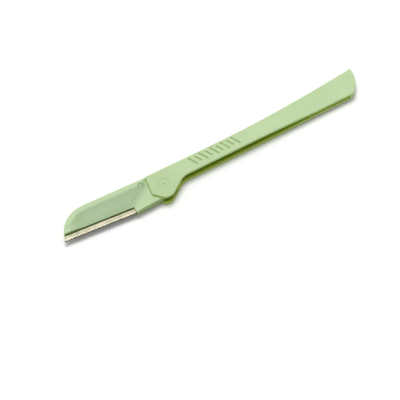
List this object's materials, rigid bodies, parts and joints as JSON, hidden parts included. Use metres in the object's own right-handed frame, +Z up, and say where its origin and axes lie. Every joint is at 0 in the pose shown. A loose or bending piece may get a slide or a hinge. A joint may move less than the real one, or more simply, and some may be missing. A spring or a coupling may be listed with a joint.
{
  "type": "folding eyebrow razor",
  "caption": "Folding eyebrow razor: a slim slotted handle and a pivoting head with a guarded straight blade, shown open.",
  "frame": {"origin": "where the pivot axis meets the plane that the back of the handle rests on", "axes": "+X along the handle to its tail, +Y across the razor to its spine, away from the cutting edge, +Z up out of the front face"},
  "size_m": [0.1604, 0.0177, 0.0055],
  "materials": {
    "handle_plastic": "satin moulded, pale green",
    "head_plastic": "satin moulded, pale green",
    "blade_steel": "ground",
    "guard_foil": "bright stamped foil"
  },
  "bodies": {
    "handle": {"handle_front_half": "handle_plastic", "handle_back_half": "handle_plastic", "pivot_pin": "handle_plastic", "pivot_cap": "handle_plastic"},
    "head": {"head_front_shell": "head_plastic", "head_back_shell": "head_plastic", "blade": "blade_steel", "edge_guard": "guard_foil"}
  },
  "joints": [
    {"name": "head_fold", "type": "hinge", "parent": "handle", "child": "head", "pos_m": [0, 0, 0.00275], "axis": [0, 0, 1], "range_deg": [0, 180]}
  ]
}
